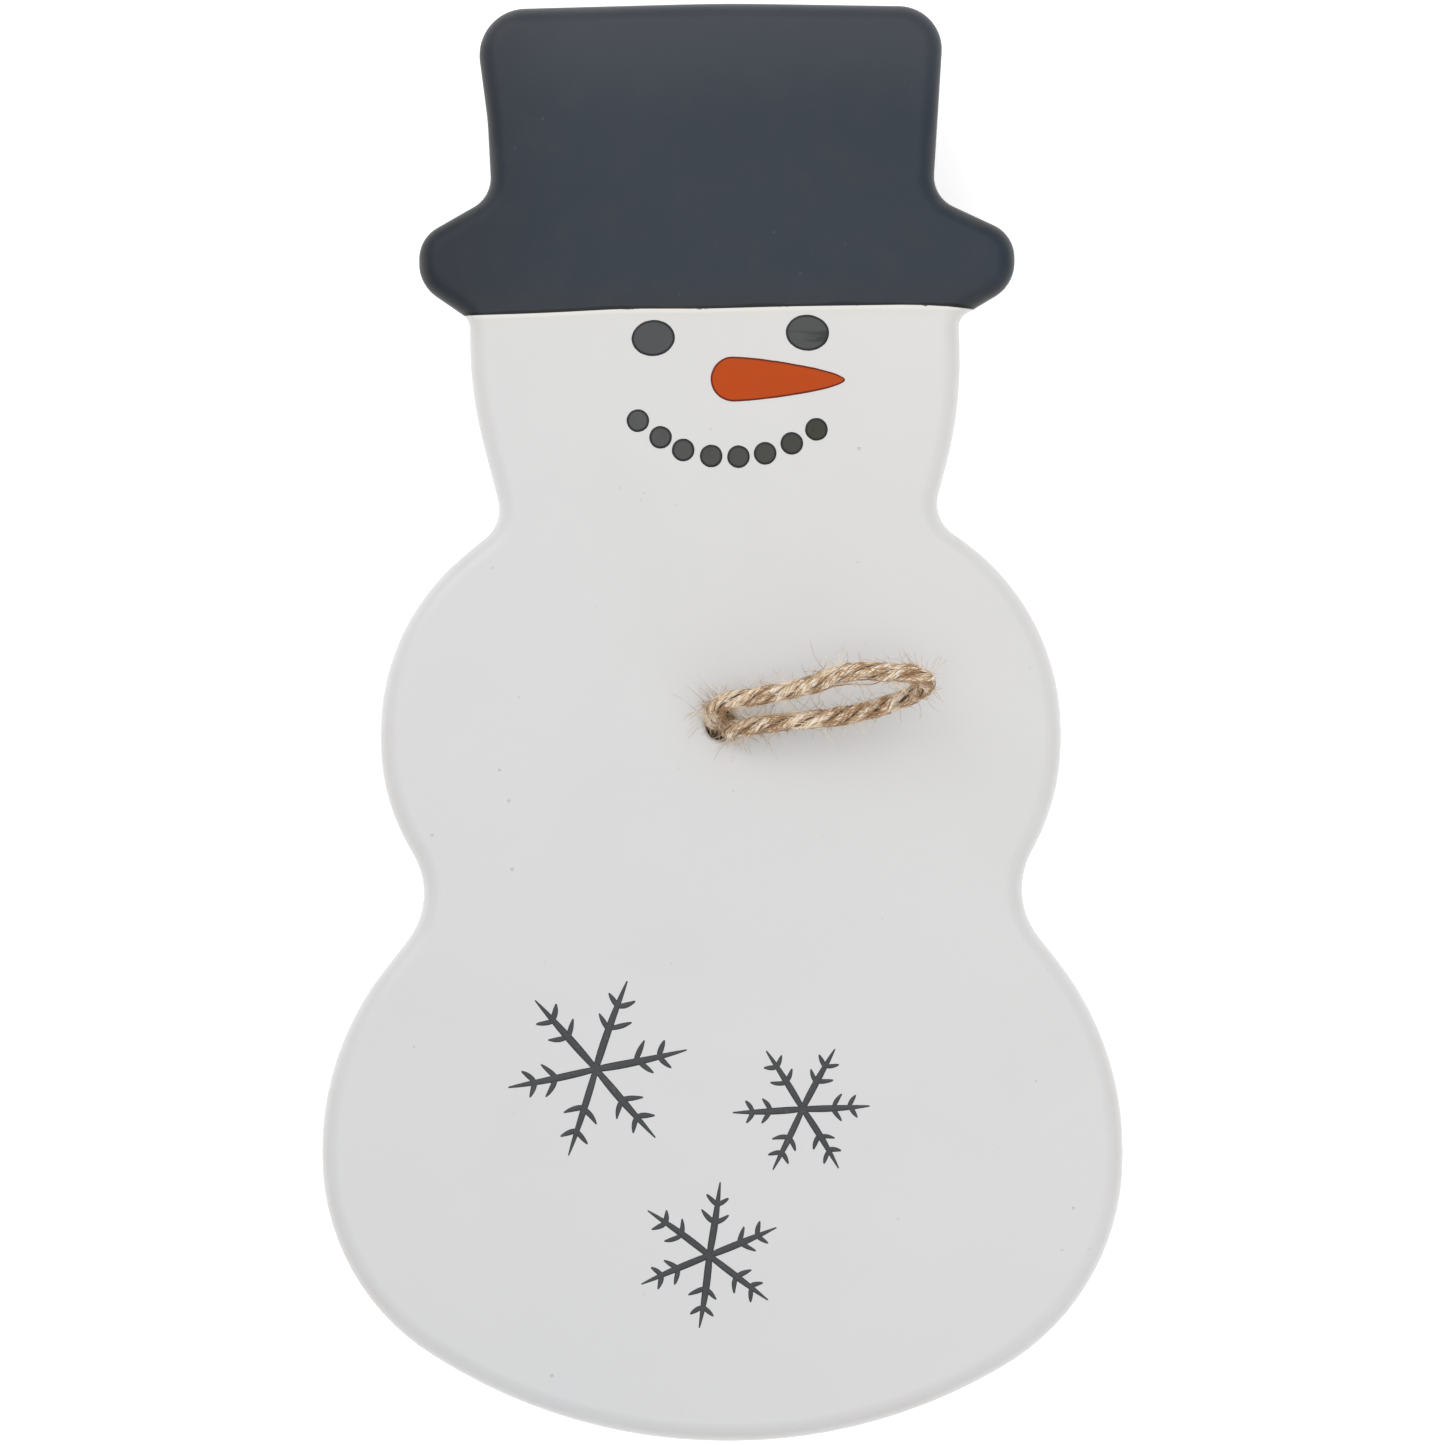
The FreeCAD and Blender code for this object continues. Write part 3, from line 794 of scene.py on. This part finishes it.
def ropeMesh(name, strands):
    # all strands in one mesh, each closed at both ends
    verts, faces, coords, crowns = [], [], [], []
    around = cord["around"]
    crown = [0.5 + 0.5 * math.cos(2 * math.pi * j / around) for j in range(around)]
    for rings, shift in strands:
        base = len(verts)
        for ring, along in rings:
            verts.extend(ring)
            crowns.extend(crown)
        for i in range(len(rings) - 1):
            a, c = base + i * around, base + (i + 1) * around
            v0, v1 = rings[i][1] / 10, rings[i + 1][1] / 10
            for j in range(around):
                k = (j + 1) % around
                u0, u1 = shift + j / around, shift + (j + 1) / around
                faces.append((a + j, a + k, c + k, c + j))
                coords.extend([(u0, v0), (u1, v0), (u1, v1), (u0, v1)])
        for first, order in ((base, -1), (base + (len(rings) - 1) * around, 1)):
            faces.append(tuple(first + j for j in range(around))[::order])
            coords.extend([(shift, 0)] * around)
    mesh = bpy.data.meshes.new(name)
    mesh.from_pydata(verts, [], faces)
    layer = mesh.uv_layers.new(name="strand")
    for loop, coord in zip(layer.data, coords):
        loop.uv = coord
    mesh.attributes.new("crown", "FLOAT", "POINT").data.foreach_set("value", crowns)
    piece = link(name, mesh)
    workOn(piece)
    turnOutward(cord["smooth"])
    return piece


def addHair(curve, start, heading, long, pick, thick=0.036, curl=0.9):
    # a loose fibre that leaves the rope and bends as it likes
    count = 6
    place = start.copy()
    way = heading.normalized()
    bend = Vector([pick.uniform(-1, 1) for _ in range(3)]) * curl
    lowest = faceHeight + cord["clear"] / 1000
    places, radii = [], []
    for i in range(count):
        places.append(place)
        radii.append(thick * (1 - 0.55 * i / (count - 1)))
        way = (way + bend * 0.35 + Vector([pick.uniform(-0.28, 0.28) for _ in range(3)])).normalized()
        place = place + way * (long / (count - 1))
        if place.z < lowest and start.z > faceHeight:
            place.z = lowest
            way.z = abs(way.z)
    addLine(curve, places, radii)


def hairCurve(name):
    return openCurve(name, bevel=0.001, along=2)


def addLooseHairs(curve, spots, pick):
    for _ in range(cord["hairs"]):
        # more of them near the hole, where the fibres are bent and broken
        i = pick.randrange(14, len(spots) - 14)
        if pick.random() < 0.24:
            i = pick.choice((1, -1)) * pick.randrange(14, 44)
        spot = spots[i]
        out = spot.spoke(pick.uniform(0, 2 * math.pi))
        start = spot.place + out * (pick.uniform(0.95, 1.25) / 1000)
        drawn = pick.choice((-1, 1)) * pick.uniform(0.6, 1.0)
        heading = spot.ahead * drawn + out * pick.triangular(0.05, 0.65, 0.15)
        addHair(curve, start, heading, pick.triangular(1.2, 7.5, 2.8) / 1000, pick, curl=1.3)


def addTuft(curve, spots, pick):
    # broken fibres where both legs meet the hole
    lean = Vector((-0.25, -0.35, 0.3))
    for _ in range(cord["tuft"]):
        spot = spots[pick.choice((1, -1)) * pick.randrange(3, 17)]
        out = spot.spoke(pick.uniform(0, 2 * math.pi))
        heading = out * pick.uniform(0.3, 0.9) + lean
        addHair(curve, spot.place + out * 0.0011, heading, pick.uniform(0.8, 2.2) / 1000, pick, thick=0.045)


def addWraps(curve, spots, pick):
    # fibres that lie on the rope and cross its strands
    count = 7
    for _ in range(cord["wraps"]):
        first = pick.randrange(20, len(spots) - 50)
        start = pick.uniform(0, 2 * math.pi)
        turn = pick.uniform(-1.1, 1.1)
        places, radii = [], []
        for k in range(count):
            spot = spots[first + k * 5]
            out = spot.spoke(start + turn * k / (count - 1))
            places.append(spot.place + out * (pick.uniform(1.22, 1.45) / 1000))
            radii.append(pick.uniform(0.035, 0.070))
        addLine(curve, places, radii)


def addLoop():
    line = smoothLine(overFace(route))
    spots = evenSpots(line, cord["step"] / 1000)
    rope = ropeMesh("juteRope", threeStrands(spots, 1.0, cord["grainSeed"]))
    pick = random.Random(cord["seed"])
    curve = hairCurve("juteHairs")
    addLooseHairs(curve, spots, pick)
    addTuft(curve, spots, pick)
    addWraps(curve, spots, pick)
    for points in wisps:
        addLine(curve, overFace(points), [cord["wisp"]] * len(points))
    return rope, asMesh(link("juteHairs", curve)), [tuple(p) for p in line]


def jutePaint():
    paint = Paint("jute", Specular_IOR_Level=0.30)
    strand = paint.add("ShaderNodeUVMap", {"uv_map": "strand"}, {})
    u = paint.axis("X", strand)
    v = paint.axis("Y", strand)
    # fibres lean across the strand against its twist, so they run nearly along the rope
    across = u * 5.5 + v * 2.4
    fibre = paint.noise(7.5, 3.0, 0.65, paint.plane(across, v * 0.8))
    bundle = paint.noise(3.4, 3.0, 0.55, paint.plane(across, v * 1.5))
    tone = paint.noise(190.0, 3.0, 0.6)
    crown = paint.stored("crown")
    colour = paint.mix(fibre.between(0.38, 0.55), *juteColours["fibre"])
    colour = paint.mix(bundle.between(0.51, 0.58) * 0.95, colour, juteColours["bleached"])
    colour = paint.mix(bundle.between(0.47, 0.38) * 0.90, colour, juteColours["brown"])
    colour = paint.mix((tone - 0.46) * 0.6, colour, juteColours["straw"])
    # painted shade in the grooves where the strands meet
    colour = paint.mix(crown.between(0.62, 0.38) * 0.85, colour, juteColours["grooveShade"])
    relief = paint.bump(fibre + bundle * 0.8, 0.8, 0.00022)
    paint.set(Base_Color=colour, Roughness=fibre * 0.2 + 0.48, Normal=relief)
    return paint


def hairPaint():
    paint = Paint("juteHair", Specular_IOR_Level=0.2)
    tone = paint.noise(260.0, 2.0)
    fine = paint.noise(1500.0, 2.0)
    colour = paint.mix(tone.between(0.42, 0.60), *juteColours["hair"])
    colour = paint.mix(fine * 0.4, colour, juteColours["hairStraw"])
    paint.set(Base_Color=colour, Roughness=fine * 0.2 + 0.6, Normal=paint.bump(fine, 0.3, 0.00002))
    return paint


# the knot that stops the loop under the lid, and its two ends

knot = {
    "middle": (-0.2, -0.4, -11.75),
    "radius": 3.3,
    "pitch": 6.6,
    "turns": 0.92,
    "tilt": 16,          # degrees
    "points": 13,        # hand points in each end's turn
    "thickness": 0.97,   # squeezed a little
    "hairs": 170,
    "brushHairs": 70,
    "seed": 11,
    "grainSeed": 8.0,
    "grainStep": 5,
}

# each end of the cord: its leg in the hole, where its turn round the knot starts, and its tail
# (millimetres from the face, and degrees)
ends = [
    {"leg": [(-1.35, 0.35, 0.3), (-0.97, 0.05, -2.0), (-0.95, 0.05, -6.8)],
     "start": 149,
     "tail": [(-1.5, -0.9, -14.3), (-2.3, -1.2, -18.5), (-4.9, -2.7, -22.3), (-5.9, -5.3, -24.9)]},
    {"leg": [(1.0, -1.2, 0.3), (0.57, -0.85, -2.0), (0.55, -0.85, -6.8)],
     "start": -31,
     "tail": [(2.1, 0.1, -14.3), (2.8, 0.5, -18.7), (4.7, 2.3, -22.5), (5.0, 5.3, -25.3)]},
]


def knotTurn(start):
    # one end's turn round the knot, from its top to its bottom
    middle = Vector(knot["middle"])
    lean = Matrix.Rotation(math.radians(knot["tilt"]), 3, "X")
    points = []
    for i in range(knot["points"]):
        share = i / (knot["points"] - 1)
        a = math.radians(start) + 2 * math.pi * knot["turns"] * share
        drop = Vector((0, 0, knot["pitch"] * knot["turns"] * (0.5 - share)))
        points.append(tuple(middle + lean @ Vector((math.cos(a), math.sin(a), 0)) * knot["radius"] + drop))
    return points


def addKnotHairs(curve, spots, pick):
    for _ in range(knot["hairs"]):
        spot = spots[pick.randrange(30, len(spots))]
        out = spot.spoke(pick.uniform(0, 2 * math.pi))
        heading = spot.ahead * pick.uniform(0.3, 1.0) + out * pick.uniform(0.1, 0.7)
        addHair(curve, spot.place + out * 0.0012, heading, pick.uniform(1.0, 3.6) / 1000, pick)


def addBrush(curve, spot, pick):
    # the cut end opens into a small brush
    for _ in range(knot["brushHairs"]):
        a = pick.uniform(0, 2 * math.pi)
        r = pick.uniform(0, 1.7)
        out = spot.spoke(a)
        start = spot.place + out * (r / 1000) - spot.ahead * 0.001
        heading = spot.ahead + out * r * 0.3
        addHair(curve, start, heading, pick.uniform(1.4, 2.9) / 1000, pick, thick=0.05, curl=0.4)


def addKnot():
    strands = []
    pick = random.Random(knot["seed"])
    curve = hairCurve("knotHairs")
    for number, end in enumerate(ends):
        points = end["leg"] + knotTurn(end["start"]) + end["tail"]
        spots = evenSpots(smoothLine(overFace(points)), cord["step"] / 1000)
        seed = knot["grainSeed"] + number * knot["grainStep"]
        strands.extend(threeStrands(spots, knot["thickness"], seed, fray=1.0))
        addKnotHairs(curve, spots, pick)
        addBrush(curve, spots[-2], pick)
    return ropeMesh("juteKnot", strands), asMesh(link("knotHairs", curve))


rope, hairs, ropeLine = addLoop()
juteKnot, knotHairs = addKnot()
jute = jutePaint()
juteHair = hairPaint()
for piece in (rope, juteKnot):
    give(piece, jute)
for piece in (hairs, knotHairs):
    give(piece, juteHair)
for piece in (rope, hairs, juteKnot, knotHairs):
    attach(piece, "lid")
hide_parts("jute_loop")
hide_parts("stopper_knot", "cord_tail_left", "cord_tail_right")
overFace(route[:1])[0]
print("jute loop laid:", len(rope.data.polygons) + len(juteKnot.data.polygons), "faces in the rope,",
      len(hairs.data.polygons) + len(knotHairs.data.polygons), "in the hairs")


# floor and light

studio = {
    "floorSize": 6,
    "floor": ((0.93, 0.93, 0.925), (0.95, 0.95, 0.95)),
    "glow": 0.47,          # keeps the floor's shade near white beside the dish
    "sky": 0.68,
    "aim": (0, 0, 0.03),
    "top": (16.0, 2.2, (0.0, 0.25, 2.3)),     # watts, size and place
    "key": (7.5, 1.2, (-0.9, 1.1, 1.5)),
    "fill": (3.0, 1.4, (1.3, -0.9, 1.1)),
}


def addFloor():
    clearSelection()
    bpy.ops.mesh.primitive_plane_add(size=studio["floorSize"], location=(0, 0, 0))
    floor = bpy.context.object
    floor.name = "floor"
    paint = Paint("paleFloor", Roughness=0.9, Specular_IOR_Level=0.1, Emission_Strength=studio["glow"])
    colour = paint.mix(paint.noise(3.0, 2.0), *studio["floor"])
    paint.set(Base_Color=colour, Emission_Color=(1.0, 1.0, 1.0))
    give(floor, paint)


def addLight(name, watts, size, place):
    clearSelection()
    bpy.ops.object.light_add(type="AREA", location=place)
    light = bpy.context.object
    light.name = name
    light.data.energy = watts
    light.data.size = size
    light.visible_camera = False
    light.rotation_euler = (Vector(studio["aim"]) - light.location).to_track_quat("-Z", "Y").to_euler()


def addSky():
    # the camera sees plain white, the object a softer light
    world = bpy.data.worlds.new("studioAir")
    world.use_nodes = True
    tree = world.node_tree
    air = tree.nodes["Background"]
    air.inputs["Color"].default_value = (1, 1, 1, 1)
    path = tree.nodes.new("ShaderNodeLightPath")
    strength = tree.nodes.new("ShaderNodeMapRange")
    strength.inputs["To Min"].default_value = studio["sky"]
    strength.inputs["To Max"].default_value = 1.0
    tree.links.new(path.outputs["Is Camera Ray"], strength.inputs["Value"])
    tree.links.new(strength.outputs["Result"], air.inputs["Strength"])
    bpy.context.scene.world = world


addFloor()
for name in ("top", "key", "fill"):
    addLight(name + "Light", *studio[name])
addSky()
bpy.context.scene.view_settings.view_transform = "Standard"
print("floor and lights set")

clearSelection()
